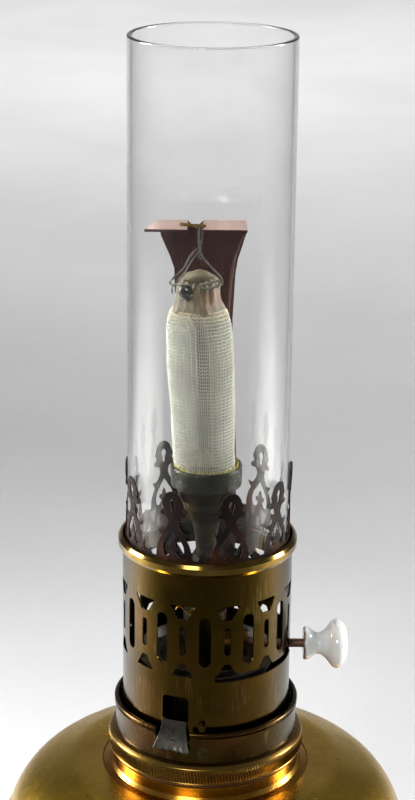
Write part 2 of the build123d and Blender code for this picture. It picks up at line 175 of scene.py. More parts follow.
def makeScratchGroup():
    # thin hair scratches in two directions
    tree, given, result = newGroup(
        "hairScratches",
        [("Vector", vectorKind, None), ("Scale", floatKind, 70.0), ("Width", floatKind, 0.02)],
        [("Mask", floatKind)],
    )
    lines = []
    for turn in ((0.3, 0.5, 0.9), (1.1, -0.4, 2.2)):
        inputs = {"Vector": given["Vector"], "Rotation": turn, "Scale": (1.0, 1.0, 0.06)}
        laid = put(tree, "ShaderNodeMapping", inputs).outputs[0]
        wave = noise(tree, laid, calc(tree, "MULTIPLY", given["Scale"], 6.0), 2.0, 0.5)
        away = calc(tree, "ABSOLUTE", calc(tree, "SUBTRACT", wave, 0.5))
        lines.append(span(tree, away, 0.0, given["Width"], 1.0, 0.0))
    broken = span(tree, noise(tree, given["Vector"], given["Scale"], 2.0), 0.5, 0.62)
    both = calc(tree, "MAXIMUM", lines[0], lines[1])
    tree.links.new(calc(tree, "MULTIPLY", both, broken), result["Mask"])
    return tree


def makeDustGroup():
    # dust that settles on what faces up
    tree, given, result = newGroup("restingDust", [("Amount", floatKind, 0.3)], [("Mask", floatKind)])
    where = put(tree, "ShaderNodeTexCoord").outputs
    facing = put(tree, "ShaderNodeSeparateXYZ", {0: where["Normal"]}).outputs[2]
    cloud = noise(tree, where["Object"], 420.0, 4.0)
    settled = calc(tree, "MULTIPLY", span(tree, facing, 0.35, 1.0), span(tree, cloud, 0.35, 0.7))
    tree.links.new(calc(tree, "MULTIPLY", settled, given["Amount"]), result["Mask"])
    return tree


tarnishPatches = makeTarnishGroup()
turningMarks = makeTurningGroup()
smallPits = makePitGroup()
hairScratches = makeScratchGroup()
restingDust = makeDustGroup()


def newMaterial(name, **fixed):
    material = bpy.data.materials.new(name)
    material.use_nodes = True
    tree = material.node_tree
    shader = tree.nodes["Principled BSDF"]
    for key, value in fixed.items():
        shader.inputs[key.replace("_", " ")].default_value = value
    place = put(tree, "ShaderNodeTexCoord").outputs["Object"]
    return material, tree, shader, place


def bumped(tree, shader, height, distance, strength=1.0):
    bump = put(tree, "ShaderNodeBump", {"Height": height, "Distance": distance, "Strength": strength})
    tree.links.new(bump.outputs[0], shader.inputs["Normal"])


def heightOf(tree, place):
    return put(tree, "ShaderNodeSeparateXYZ", {0: place}).outputs[2]


# Brass in its several states, the gallery's and the skirt's darkened with painted shade: every brass part of the lamp
# is one of these
brassStates = {
    "shoulderBrass": dict(
        bright=(0.50, 0.315, 0.034), dark=(0.22, 0.13, 0.012), scale=38.0, cover=0.47, edge=0.35,
        roughBright=0.22, roughDark=0.36, marks=0.35, pits=0.55, dust=0.04,
    ),
    "neckBrass": dict(
        bright=(0.38, 0.18, 0.022), dark=(0.14, 0.06, 0.008), scale=55.0, cover=0.4, edge=0.3,
        roughBright=0.16, roughDark=0.3, marks=0.5, pits=0.15, dust=0.0,
    ),
    # the gallery's very dark base colours are painted shade: besides its tarnish, they stand in for the dark
    # reflections on its front
    "galleryBrass": dict(
        bright=(0.050, 0.031, 0.0042), dark=(0.015, 0.009, 0.0018), scale=48.0, cover=0.5, edge=0.35,
        roughBright=0.13, roughDark=0.24, marks=0.3, pits=0.2, dust=0.02,
    ),
    # the skirt's dark base colours are partly real tarnish and verdigris and partly painted shade, darkened to match
    # a shadowed gap
    "skirtBrass": dict(
        bright=(0.038, 0.023, 0.0048), dark=(0.010, 0.0062, 0.0018), scale=70.0, cover=0.56, edge=0.3,
        roughBright=0.2, roughDark=0.38, marks=0.4, pits=0.3, dust=0.03, green=0.35,
    ),
    "knurlBrass": dict(
        bright=(0.24, 0.14, 0.03), dark=(0.07, 0.04, 0.01), scale=90.0, cover=0.36, edge=0.3,
        roughBright=0.2, roughDark=0.4, marks=0.3, pits=0.1, dust=0.0,
    ),
    "innerBrass": dict(
        bright=(0.055, 0.04, 0.011), dark=(0.014, 0.011, 0.0045), scale=110.0, cover=0.6, edge=0.3,
        roughBright=0.26, roughDark=0.44, marks=0.4, pits=0.3, dust=0.03,
    ),
    "footBrass": dict(
        bright=(0.40, 0.26, 0.055), dark=(0.18, 0.11, 0.025), scale=34.0, cover=0.45, edge=0.35,
        roughBright=0.25, roughDark=0.4, marks=0.4, pits=0.35, dust=0.25,
    ),
}


def makeBrass(name):
    state = brassStates[name]
    material, tree, shader, place = newMaterial(name, Metallic=1.0, IOR=1.5)
    inputs = {"Vector": place, "Scale": state["scale"], "Cover": state["cover"], "Edge": state["edge"]}
    patches = useGroup(tree, tarnishPatches, inputs)
    colour = blendColour(tree, patches["Mask"], rgb(*state["bright"]), rgb(*state["dark"]))
    warm = span(tree, noise(tree, place, state["scale"] * 0.45, 2.0), 0.45, 0.75, 0.0, 0.35)
    colour = blendColour(tree, warm, colour, rgb(0.16, 0.06, 0.02))
    if "green" in state:
        verdigris = useGroup(
            tree, tarnishPatches, {"Vector": place, "Scale": 160.0, "Cover": state["green"], "Edge": 0.12},
        )
        colour = blendColour(tree, calc(tree, "MULTIPLY", verdigris["Mask"], 0.5), colour, rgb(0.10, 0.14, 0.07))
    pits = useGroup(tree, smallPits, {"Vector": place, "Scale": 210.0, "Size": 0.2, "Share": state["pits"] * 0.35})
    colour = blendColour(tree, calc(tree, "MULTIPLY", pits["Mask"], 0.75), colour, rgb(0.045, 0.03, 0.015))
    dust = useGroup(tree, restingDust, {"Amount": state["dust"]})
    colour = blendColour(tree, dust["Mask"], colour, rgb(0.2, 0.16, 0.09))
    scratches = useGroup(tree, hairScratches, {"Vector": place, "Scale": 60.0, "Width": 0.016})
    colour = blendColour(tree, calc(tree, "MULTIPLY", scratches["Mask"], 0.16), colour, rgb(0.40, 0.29, 0.11))
    rough = span(tree, patches["Mask"], 0.0, 1.0, state["roughBright"], state["roughDark"])
    rough = calc(tree, "ADD", rough, calc(tree, "MULTIPLY", patches["Fine"], 0.08))
    rough = calc(tree, "ADD", rough, calc(tree, "MULTIPLY", dust["Mask"], 0.4))
    marks = useGroup(tree, turningMarks, {"Vector": place, "Fineness": 2600.0})
    height = calc(tree, "MULTIPLY", marks["Height"], state["marks"])
    height = calc(tree, "SUBTRACT", height, calc(tree, "MULTIPLY", pits["Mask"], 2.0))
    height = calc(tree, "SUBTRACT", height, calc(tree, "MULTIPLY", scratches["Mask"], 0.2))
    height = calc(tree, "ADD", height, calc(tree, "MULTIPLY", noise(tree, place, 45.0, 2.0), 6.0))
    tree.links.new(colour, shader.inputs["Base Color"])
    tree.links.new(rough, shader.inputs["Roughness"])
    bumped(tree, shader, height, 0.00006, 0.7)
    return material


def makeBeadBrass():
    # the gallery's dark colour is painted shade; its rolled bead is lighter, partly rubbed brass and partly a painted
    # highlight
    material = makeBrass("galleryBrass")
    tree = material.node_tree
    shader = tree.nodes["Principled BSDF"]
    place = put(tree, "ShaderNodeTexCoord").outputs["Object"]
    below = shader.inputs["Base Color"].links[0].from_socket
    # lighter band over the bead: partly wear, partly a painted highlight
    rubbedAndHighlit = span(tree, heightOf(tree, place), up(-0.3), up(0.4))
    broken = span(tree, noise(tree, place, 130.0, 4.0), 0.3, 0.62, 1.0, 0.45)
    rubbedAndHighlit = calc(tree, "MULTIPLY", rubbedAndHighlit, broken)
    colour = blendColour(tree, rubbedAndHighlit, below, rgb(0.29, 0.185, 0.042))
    tree.links.new(colour, shader.inputs["Base Color"])
    rough = shader.inputs["Roughness"].links[0].from_socket
    smooth = calc(tree, "MULTIPLY", rough, span(tree, rubbedAndHighlit, 0.0, 1.0, 1.0, 0.62))
    tree.links.new(smooth, shader.inputs["Roughness"])
    return material


def makeBurntSteel():
    # the crown: burnt nearly black, rusty red towards its band, brass glints where it is rubbed
    material, tree, shader, place = newMaterial("burntCrown", Metallic=0.3, Specular_IOR_Level=0.18)
    level = heightOf(tree, place)
    rust = useGroup(tree, tarnishPatches, {"Vector": place, "Scale": 120.0, "Cover": 0.55, "Edge": 0.2})
    low = span(tree, level, up(2.0), up(17.0), 1.0, 0.12)
    redness = calc(tree, "MULTIPLY", rust["Mask"], low)
    colour = blendColour(tree, redness, rgb(0.009, 0.0055, 0.0045), rgb(0.085, 0.024, 0.007))
    glints = useGroup(tree, tarnishPatches, {"Vector": place, "Scale": 340.0, "Cover": 0.3, "Edge": 0.1})
    colour = blendColour(tree, calc(tree, "MULTIPLY", glints["Mask"], 0.4), colour, rgb(0.22, 0.13, 0.035))
    tree.links.new(colour, shader.inputs["Base Color"])
    tree.links.new(span(tree, rust["Fine"], 0.2, 0.8, 0.42, 0.7), shader.inputs["Roughness"])
    bumped(tree, shader, rust["Fine"], 0.00012, 0.6)
    return material


def makeCopper():
    # heat-stained copper: purple-black face with streaks, pink on its cut edges and on the tabs
    material, tree, shader, place = newMaterial("stainedCopper", Metallic=0.85, IOR=1.5)
    laid = put(tree, "ShaderNodeMapping", {"Vector": place, "Scale": (1.0, 1.0, 0.16)}).outputs[0]
    streaks = useGroup(tree, tarnishPatches, {"Vector": laid, "Scale": 260.0, "Cover": 0.5, "Edge": 0.25})
    clouds = useGroup(tree, tarnishPatches, {"Vector": place, "Scale": 80.0, "Cover": 0.55, "Edge": 0.3})
    colour = blendColour(tree, streaks["Mask"], rgb(0.07, 0.03, 0.027), rgb(0.022, 0.012, 0.016))
    colour = blendColour(tree, calc(tree, "MULTIPLY", clouds["Mask"], 0.5), colour, rgb(0.10, 0.045, 0.028))
    facing = put(tree, "ShaderNodeSeparateXYZ", {0: put(tree, "ShaderNodeTexCoord").outputs["Normal"]}).outputs
    sides = span(tree, calc(tree, "ABSOLUTE", facing[0]), 0.55, 0.85)
    tops = calc(
        tree, "MULTIPLY", span(tree, heightOf(tree, place), up(98.9), up(99.6)),
        span(tree, facing[2], 0.4, 0.8),
    )
    bright = calc(tree, "MAXIMUM", sides, tops)
    bright = calc(tree, "MULTIPLY", bright, span(tree, clouds["Fine"], 0.2, 0.7, 1.0, 0.7))
    colour = blendColour(tree, bright, colour, rgb(0.62, 0.42, 0.35))
    tree.links.new(colour, shader.inputs["Base Color"])
    tree.links.new(span(tree, streaks["Fine"], 0.2, 0.8, 0.24, 0.46), shader.inputs["Roughness"])
    bumped(tree, shader, streaks["Mask"], 0.0001, 0.4)
    return material


def makeDullMetal(name, light, dark, metal, rough, scale=140.0, bump=0.00012):
    # tin, iron and oxidised steel: two tones in patches with a grainy surface
    material, tree, shader, place = newMaterial(name, Metallic=metal, IOR=1.5)
    patches = useGroup(tree, tarnishPatches, {"Vector": place, "Scale": scale, "Cover": 0.52, "Edge": 0.3})
    dust = useGroup(tree, restingDust, {"Amount": 0.04})
    colour = blendColour(tree, patches["Mask"], rgb(*light), rgb(*dark))
    colour = blendColour(tree, dust["Mask"], colour, rgb(0.3, 0.28, 0.24))
    tree.links.new(colour, shader.inputs["Base Color"])
    tree.links.new(span(tree, patches["Fine"], 0.2, 0.8, rough - 0.1, rough + 0.14), shader.inputs["Roughness"])
    grain = calc(tree, "ADD", patches["Fine"], calc(tree, "MULTIPLY", patches["Mask"], 0.5))
    bumped(tree, shader, grain, bump, 0.7)
    return material


def makePorcelain():
    # glazed white, with a brown stain where the spindle enters and a few kiln specks
    fixed = {"Metallic": 0.0, "IOR": 1.52, "Coat_Weight": 1.0, "Coat_Roughness": 0.04, "Subsurface_Weight": 0.08}
    material, tree, shader, place = newMaterial("glazedPorcelain", **fixed)
    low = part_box("porcelain_knob")[0]
    along = put(tree, "ShaderNodeSeparateXYZ", {0: place}).outputs[0]
    ragged = calc(tree, "MULTIPLY", noise(tree, place, 420.0, 4.0), 0.0016)
    stain = span(tree, calc(tree, "ADD", along, ragged), low[0] + 0.0009, low[0] + 0.0019, 1.0, 0.0)
    cloud = span(tree, noise(tree, place, 90.0, 3.0), 0.35, 0.7)
    colour = blendColour(tree, cloud, rgb(0.80, 0.81, 0.80), rgb(0.72, 0.735, 0.72))
    colour = blendColour(tree, stain, colour, rgb(0.10, 0.05, 0.022))
    specks = useGroup(tree, smallPits, {"Vector": place, "Scale": 190.0, "Size": 0.13, "Share": 0.1})
    colour = blendColour(tree, specks["Mask"], colour, rgb(0.11, 0.08, 0.06))
    tree.links.new(colour, shader.inputs["Base Color"])
    tree.links.new(span(tree, stain, 0.0, 1.0, 0.16, 0.6), shader.inputs["Roughness"])
    bumped(tree, shader, noise(tree, place, 160.0, 2.0), 0.0002, 0.25)
    return material


def makeGlass():
    # clear tube glass with drawn streaks and a little haze
    fixed = {"Metallic": 0.0, "IOR": 1.48, "Transmission_Weight": 1.0, "Specular_IOR_Level": 0.28}
    material, tree, shader, place = newMaterial("tubeGlass", **fixed)
    laid = put(tree, "ShaderNodeMapping", {"Vector": place, "Scale": (1.0, 1.0, 0.05)}).outputs[0]
    streaks = noise(tree, laid, 420.0, 3.0)
    smears = span(tree, noise(tree, place, 70.0, 4.0), 0.5, 0.8, 0.0, 0.05)
    colour = blendColour(tree, span(tree, streaks, 0.3, 0.7), rgb(0.998, 1.0, 0.999), rgb(0.988, 0.995, 0.991))
    tree.links.new(colour, shader.inputs["Base Color"])
    tree.links.new(smears, shader.inputs["Roughness"])
    bumped(tree, shader, streaks, 0.00003, 0.12)
    shadow = put(tree, "ShaderNodeLightPath").outputs["Is Shadow Ray"]
    clear = put(tree, "ShaderNodeBsdfTransparent", {"Color": rgb(0.93, 0.95, 0.94)}).outputs[0]
    both = put(tree, "ShaderNodeMixShader", {0: shadow, 1: shader.outputs[0], 2: clear}).outputs[0]
    tree.links.new(both, tree.nodes["Material Output"].inputs["Surface"])  # light reaches what stands inside
    return material


def makeYarn(name, light, dark, twist=0.0, stain=None):
    # knitted or twisted fibre; a stain colours it above a height
    material, tree, shader, place = newMaterial(name, Metallic=0.0, Sheen_Weight=0.25, Sheen_Roughness=0.5)
    cloud = span(tree, noise(tree, place, 120.0, 4.0), 0.3, 0.7)
    fibre = noise(tree, place, 4200.0, 3.0, 0.7)
    colour = blendColour(tree, cloud, rgb(*light), rgb(*dark))
    if stain:
        level = calc(
            tree, "ADD", heightOf(tree, place), calc(tree, "MULTIPLY", noise(tree, place, 230.0, 5.0), 0.004),
        )
        burnt = span(tree, level, up(stain[0]), up(stain[1]))
        colour = blendColour(tree, burnt, colour, rgb(*stain[2]))
    colour = blendColour(tree, span(tree, fibre, 0.3, 0.8, 0.0, 0.4), colour, rgb(*dark))
    tree.links.new(colour, shader.inputs["Base Color"])
    tree.links.new(span(tree, fibre, 0.2, 0.8, 0.72, 0.95), shader.inputs["Roughness"])
    bumped(tree, shader, fibre, 0.00012 + twist, 0.7)
    return material


def makeHeadCloth():
    # the mantle's hardened head: tan, with brown and reddish scorching
    material, tree, shader, place = newMaterial("hardenedHead", Metallic=0.0, Coat_Weight=0.15, Coat_Roughness=0.4)
    scorch = useGroup(tree, tarnishPatches, {"Vector": place, "Scale": 190.0, "Cover": 0.5, "Edge": 0.3})
    level = heightOf(tree, place)
    side = put(tree, "ShaderNodeSeparateXYZ", {0: place}).outputs[0]
    colour = blendColour(tree, scorch["Mask"], rgb(0.062, 0.043, 0.016), rgb(0.02, 0.012, 0.004))
    red = calc(tree, "MULTIPLY", span(tree, side, -0.004, 0.0), span(tree, level, up(77.0), up(80.0)))
    red = calc(tree, "MULTIPLY", red, span(tree, level, up(83.0), up(84.5), 1.0, 0.0))
    colour = blendColour(tree, calc(tree, "MULTIPLY", red, 0.22), colour, rgb(0.22, 0.08, 0.045))
    pale = span(tree, level, up(75.5), up(77.8), 1.0, 0.0)
    colour = blendColour(tree, pale, colour, rgb(0.075, 0.056, 0.028))
    tree.links.new(colour, shader.inputs["Base Color"])
    tree.links.new(span(tree, scorch["Fine"], 0.2, 0.8, 0.6, 0.9), shader.inputs["Roughness"])
    bumped(tree, shader, scorch["Fine"], 0.0003, 0.8)
    return material


def makeButtonGlaze():
    material, tree, shader, place = newMaterial(
        "blackBead", Metallic=0.0, IOR=1.55, Coat_Weight=1.0, Coat_Roughness=0.03,
    )
    cloud = span(tree, noise(tree, place, 700.0, 4.0), 0.35, 0.7)
    tree.links.new(
        blendColour(tree, cloud, rgb(0.003, 0.0026, 0.002), rgb(0.012, 0.009, 0.005)),
        shader.inputs["Base Color"],
    )
    tree.links.new(span(tree, cloud, 0.0, 1.0, 0.1, 0.28), shader.inputs["Roughness"])
    bumped(tree, shader, noise(tree, place, 900.0, 2.0), 0.0001, 0.3)
    return material


def makeFloorCloth():
    material, tree, shader, place = newMaterial("paleCloth", Metallic=0.0, Roughness=0.9)
    weave = []
    for i in range(2):
        direction = "X" if i == 0 else "Y"
        inputs = {"Vector": place, "Scale": 260.0, "Distortion": 1.2, "Detail": 1.0}
        weave.append(put(tree, "ShaderNodeTexWave", inputs, bands_direction=direction).outputs[1])
    threads = calc(tree, "ADD", weave[0], weave[1])
    cloud = span(tree, noise(tree, place, 3.0, 5.0), 0.3, 0.75)
    colour = blendColour(tree, cloud, rgb(0.74, 0.735, 0.74), rgb(0.66, 0.655, 0.66))
    colour = blendColour(tree, span(tree, threads, 0.2, 1.6, 0.12, 0.0), colour, rgb(0.5, 0.5, 0.5))
    tree.links.new(colour, shader.inputs["Base Color"])
    bumped(tree, shader, threads, 0.0002, 0.3)
    return material


def makeGauze():
    # woven brass wire, seen as its weave
    material, tree, shader, place = newMaterial("brassGauze", Metallic=0.9)
    weave = []
    for way in ("X", "Y"):
        inputs = {"Vector": place, "Scale": 500.0, "Distortion": 0.3, "Detail": 1.0}
        weave.append(put(tree, "ShaderNodeTexWave", inputs, bands_direction=way).outputs[1])
    wires = calc(tree, "MAXIMUM", weave[0], weave[1])
    tarnish = useGroup(tree, tarnishPatches, {"Vector": place, "Scale": 200.0, "Cover": 0.4, "Edge": 0.2})
    colour = blendColour(tree, tarnish["Mask"], rgb(0.52, 0.44, 0.11), rgb(0.16, 0.13, 0.05))
    # the gaps between the wires are painted nearly black: painted shade in the holes of the weave
    colour = blendColour(tree, span(tree, wires, 0.3, 0.7, 0.7, 0.0), colour, rgb(0.03, 0.027, 0.015))
    tree.links.new(colour, shader.inputs["Base Color"])
    tree.links.new(span(tree, tarnish["Fine"], 0.2, 0.8, 0.3, 0.5), shader.inputs["Roughness"])
    bumped(tree, shader, wires, 0.0001, 0.8)
    return material


finishes = {name: makeBrass(name) for name in brassStates if name != "galleryBrass"}
finishes["galleryBrass"] = makeBeadBrass()
finishes["burntCrown"] = makeBurntSteel()
finishes["copper"] = makeCopper()
finishes["brassGauze"] = makeGauze()
finishes["rustySpindle"] = makeDullMetal("rustySpindle", (0.16, 0.085, 0.06), (0.05, 0.028, 0.022), 0.7, 0.5)
finishes["dullTin"] = makeDullMetal("dullTin", (0.042, 0.039, 0.031), (0.012, 0.011, 0.008), 0.75, 0.32, 160.0)
finishes["ironWeight"] = makeDullMetal("ironWeight", (0.10, 0.09, 0.085), (0.045, 0.04, 0.04), 0.4, 0.7, 90.0, 0.0004)
finishes["darkRim"] = makeDullMetal("darkRim", (0.022, 0.021, 0.013), (0.008, 0.0075, 0.005), 0.7, 0.3, 150.0)
finishes["porcelain"] = makePorcelain()
finishes["glass"] = makeGlass()
finishes["mantleYarn"] = makeYarn(
    "mantleYarn", (0.37, 0.36, 0.30), (0.25, 0.24, 0.195), stain=(74.5, 80.0, (0.42, 0.35, 0.22)),
)
finishes["oliveThread"] = makeYarn("oliveThread", (0.07, 0.062, 0.034), (0.022, 0.019, 0.011), 0.0001)
finishes["cotton"] = makeYarn("cotton", (0.62, 0.56, 0.42), (0.40, 0.33, 0.2))
finishes["greenFelt"] = makeYarn("greenFelt", (0.03, 0.085, 0.045), (0.015, 0.05, 0.03), 0.0002)
finishes["leather"] = makeDullMetal("leather", (0.16, 0.085, 0.045), (0.07, 0.035, 0.02), 0.0, 0.6, 300.0)
finishes["packing"] = makeDullMetal("packing", (0.05, 0.05, 0.05), (0.02, 0.02, 0.02), 0.1, 0.6, 300.0)
finishes["headCloth"] = makeHeadCloth()
finishes["buttonGlaze"] = makeButtonGlaze()
print("materials made")

# Which finish each part keeps from the frame
nodeFinishes = {
    "footBrass": ["foot", "waist_knop", "font_lower", "font_seam_band"],
    "shoulderBrass": ["font_upper"],
    "neckBrass": ["font_neck"],
    "galleryBrass": ["gallery"],
    "skirtBrass": ["burner_base"],
    "innerBrass": [
        "wick_tubes", "vaporiser", "valve_body", "mixing_tube", "burner_cup", "chimney_ledge", "riser_nut",
        "jet_nozzle", "gland_nut", "needle_rack", "threaded_sleeve", "knob_insert", "vapour_riser", "gallery_studs",
    ],
    "darkRim": ["head_rim", "rim_lug"],
    "dullTin": ["priming_dish"],
    "rustySpindle": ["valve_spindle", "spindle_pinion", "jet_needle", "tie_rod", "tie_nut"],
    "ironWeight": ["foot_weight"],
    "leather": ["neck_washer"],
    "packing": ["gland_packing"],
    "porcelain": ["porcelain_knob"],
    "glass": ["glass_chimney"],
    "copper": ["heat_conductor", "conductor_rivets"],
    "brassGauze": ["burner_gauze", "gauze_collar"],
    "cotton": ["wicks"],
    "greenFelt": ["foot_felt"],
}
for finish, nodes in nodeFinishes.items():
    for node in nodes:
        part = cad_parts[node]
        for materialSlot in part.material_slots:
            materialSlot.material = finishes[finish]


# Mesh helpers


def newPiece(name, points, faces, finish, smooth=True):
    mesh = bpy.data.meshes.new(name)
    mesh.from_pydata([tuple(p) for p in points], [], faces)
    mesh.validate()
    piece = bpy.data.objects.new(name, mesh)
    bpy.context.scene.collection.objects.link(piece)
    mesh.materials.append(finishes[finish])
    if smooth:
        mesh.shade_smooth()
    return piece


def tidyMesh(piece, gap=0.00001, sharp=None):
    work = bmesh.new()
    work.from_mesh(piece.data)
    bmesh.ops.remove_doubles(work, verts=work.verts, dist=gap)
    bmesh.ops.recalc_face_normals(work, faces=work.faces)
    work.to_mesh(piece.data)
    work.free()
    if sharp:
        piece.data.shade_smooth()
        piece.data.set_sharp_from_angle(angle=math.radians(sharp))
    return piece


def settle(piece):
    # turns a piece's modifiers into plain mesh
    graph = bpy.context.evaluated_depsgraph_get()
    graph.update()
    made = bpy.data.meshes.new_from_object(piece.evaluated_get(graph), depsgraph=graph)
    old = piece.data
    piece.modifiers.clear()
    if piece.type == "MESH":
        piece.data = made
        if old.users == 0:
            bpy.data.meshes.remove(old)
        return piece
    name = piece.name
    bpy.data.objects.remove(piece)
    solid = bpy.data.objects.new(name, made)
    bpy.context.scene.collection.objects.link(solid)
    return solid


def rounded(points, size, steps=4):
    # rounds the corners of a closed outline
    result = []
    count = len(points)
    for i in range(count):
        corner = Vector(points[i])
        before = Vector(points[i - 1]) - corner
        after = Vector(points[(i + 1) % count]) - corner
        reach = min(size, before.length * 0.45, after.length * 0.45)
        start = corner + before.normalized() * reach
        end = corner + after.normalized() * reach
        for k in range(steps + 1):
            t = k / steps
            result.append((start * (1 - t) + corner * t) * (1 - t) + (corner * (1 - t) + end * t) * t)
    return result


def lathe(name, outline, finish, steps=128, centre=(0.0, 0.0), wobble=None):
    # turns a closed outline of (radius, height) in metres about an upright axis
    points, faces = [], []
    count = len(outline)
    for i in range(steps):
        angle = 2 * math.pi * i / steps
        for radius, height in outline:
            reach = radius + (wobble(angle, height) if wobble else 0.0)
            points.append((centre[0] + reach * math.sin(angle), centre[1] - reach * math.cos(angle), height))
    for i in range(steps):
        j = (i + 1) % steps
        for k in range(count):
            m = (k + 1) % count
            faces.append((i * count + k, j * count + k, j * count + m, i * count + m))
    return tidyMesh(newPiece(name, points, faces, finish), 0.000002)


def through(points, steps=8, closed=False):
    # smooth curve through points, in any number of dimensions
    spots = [Vector(p) for p in points]
    count = len(spots)
    result = []
    for i in range(count if closed else count - 1):
        if closed:
            a, b, c, d = (spots[(i + k) % count] for k in (-1, 0, 1, 2))
        else:
            a, b, c, d = (spots[min(max(i + k, 0), count - 1)] for k in (-1, 0, 1, 2))
        for k in range(steps):
            t = k / steps
            bend = b * 2 + (c - a) * t + (a * 2 - b * 5 + c * 4 - d) * t * t + (b * 3 - a - c * 3 + d) * t ** 3
            result.append(bend * 0.5)
    if not closed:
        result.append(spots[-1])
    return result


def strand(name, points, radius, finish, sides=8, taper=None, steps=8, twist=0.0, plies=1):
    # round tube, or several twisted plies, along a smooth curve; its ends are closed
    path = through(points, steps)
    spots, faces = [], []
    for ply in range(plies):
        base = len(spots)
        normal = Vector((0.0, 0.0, 1.0))
        for i, spot in enumerate(path):
            along = (path[min(i + 1, len(path) - 1)] - path[max(i - 1, 0)]).normalized()
            side = along.cross(normal if abs(along.dot(normal)) < 0.95 else Vector((0.0, 1.0, 0.0))).normalized()
            normal = side.cross(along).normalized()
            size = radius * (taper(i / (len(path) - 1)) if taper else 1.0)
            turn = 2 * math.pi * ply / plies + twist * i
            offset = (side * math.cos(turn) + normal * math.sin(turn)) * (size if plies > 1 else 0.0)
            thick = size * (0.95 if plies > 1 else 1.0)
            for k in range(sides):
                angle = 2 * math.pi * k / sides
                spots.append(spot + offset + (side * math.cos(angle) + normal * math.sin(angle)) * thick)
        for i in range(len(path) - 1):
            for k in range(sides):
                m = (k + 1) % sides
                row = base + i * sides
                faces.append((row + k, row + m, row + sides + m, row + sides + k))
        faces.append(tuple(base + k for k in reversed(range(sides))))
        faces.append(tuple(base + (len(path) - 1) * sides + k for k in range(sides)))
    return tidyMesh(newPiece(name, spots, faces, finish), 0.000001)


def sheetFrom(name, outlines, cell, thickness, shape, finish, edge=0.0):
    # cuts a flat outline with its holes, divides it, shapes it in space and gives it thickness
    flat = bpy.data.curves.new(name, "CURVE")
    flat.dimensions = "2D"
    flat.fill_mode = "BOTH"
    for outline in outlines:
        line = flat.splines.new("POLY")
        line.points.add(len(outline) - 1)
        for spot, (x, y) in zip(line.points, outline):
            spot.co = (x, y, 0.0, 1.0)
        line.use_cyclic_u = True
    drawn = bpy.data.objects.new(name, flat)
    bpy.context.scene.collection.objects.link(drawn)
    piece = settle(drawn)
    bpy.data.curves.remove(flat)
    work = bmesh.new()
    work.from_mesh(piece.data)
    bmesh.ops.remove_doubles(work, verts=work.verts, dist=0.000001)
    for axis in (0, 1):
        values = [v.co[axis] for v in work.verts]
        steps = int((max(values) - min(values)) / cell)
        for i in range(1, steps + 1):
            spot = Vector((0.0, 0.0, 0.0))
            spot[axis] = min(values) + i * cell
            way = Vector((0.0, 0.0, 0.0))
            way[axis] = 1.0
            everything = work.verts[:] + work.edges[:] + work.faces[:]
            bmesh.ops.bisect_plane(work, geom=everything, plane_co=spot, plane_no=way, dist=0.0000001)
    for v in work.verts:
        v.co = shape(v.co.x, v.co.y)
    bmesh.ops.recalc_face_normals(work, faces=work.faces)
    work.to_mesh(piece.data)
    work.free()
    piece.data.materials.clear()
    piece.data.materials.append(finishes[finish])
    wall = piece.modifiers.new("wall", "SOLIDIFY")
    wall.thickness = thickness
    wall.offset = 0.0
    if edge:
        soft = piece.modifiers.new("edge", "BEVEL")
        soft.width = edge
        soft.segments = 1
        soft.limit_method = "ANGLE"
        soft.angle_limit = math.radians(50)
    settle(piece)
    return tidyMesh(piece, 0.000001, 40)


# Helpers for Geometry Nodes


def newTree(name, inputs):
    tree = bpy.data.node_groups.new(name, "GeometryNodeTree")
    tree.interface.new_socket("Geometry", in_out="INPUT", socket_type="NodeSocketGeometry")
    for label, kind, value in inputs:
        tree.interface.new_socket(label, in_out="INPUT", socket_type=kind).default_value = value
    tree.interface.new_socket("Geometry", in_out="OUTPUT", socket_type="NodeSocketGeometry")
    return tree, tree.nodes.new("NodeGroupInput").outputs, tree.nodes.new("NodeGroupOutput").inputs


def closeTree(tree, geometry, finish, result):
    real = put(tree, "GeometryNodeRealizeInstances", {0: geometry}).outputs[0]
    dressed = put(tree, "GeometryNodeSetMaterial", {"Geometry": real, "Material": finishes[finish]}).outputs[0]
    tree.links.new(dressed, result["Geometry"])


def runTree(piece, tree, values):
    modifier = piece.modifiers.new(tree.name, "NODES")
    modifier.node_group = tree
    labels = {item.name: item.identifier for item in tree.interface.items_tree if item.in_out == "INPUT"}
    for label, value in values.items():
        modifier[labels[label]] = value
    return settle(piece)


def emptyPiece(name):
    return newPiece(name, [], [], "knurlBrass")


def smoothShade(tree, geometry):
    return put(tree, "GeometryNodeSetShadeSmooth", {"Geometry": geometry}).outputs[0]


# The floor, the lights and the camera
lights = {
    "left_window": ((-1.2, 0.28, 0.6), (0.0, 0.05, 0.28), 5.2, (0.45, 1.0), (0.98, 0.99, 1.0), 46),
    "right_window": ((1.25, 0.28, 0.6), (0.0, 0.05, 0.28), 3.4, (0.35, 0.9), (1.0, 1.0, 1.0), 46),
    "front_fill": ((-0.5, -1.3, 1.1), (0.0, 0.0, 0.27), 0.5, (0.5, 0.5), (1.0, 0.99, 0.97), 25),
    "ceiling": ((0.0, 1.5, 1.9), (0.0, 1.5, 0.0), 9.0, (1.4, 1.2), (1.0, 1.0, 1.0), 85),
    "far_light": ((0.0, 1.3, 2.3), (0.0, 4.4, 0.5), 50.0, (3.0, 1.4), (1.0, 1.0, 1.0), 110),
    "left_pool": ((-0.62, 0.12, 0.9), (-0.6, 0.12, 0.0), 3.4, (0.22, 0.5), (1.0, 0.98, 0.93), 42),
    "right_pool": ((0.62, 0.05, 0.9), (0.6, 0.05, 0.0), 2.0, (0.16, 0.4), (1.0, 0.98, 0.93), 42),
}  # place, aim, power, size, tint and spread in degrees
viewpoint = dict(place=(-0.0004855, -0.58930, 0.455815), tilt=70.95, roll=0.61, lens=91.66, worldGrey=0.13)


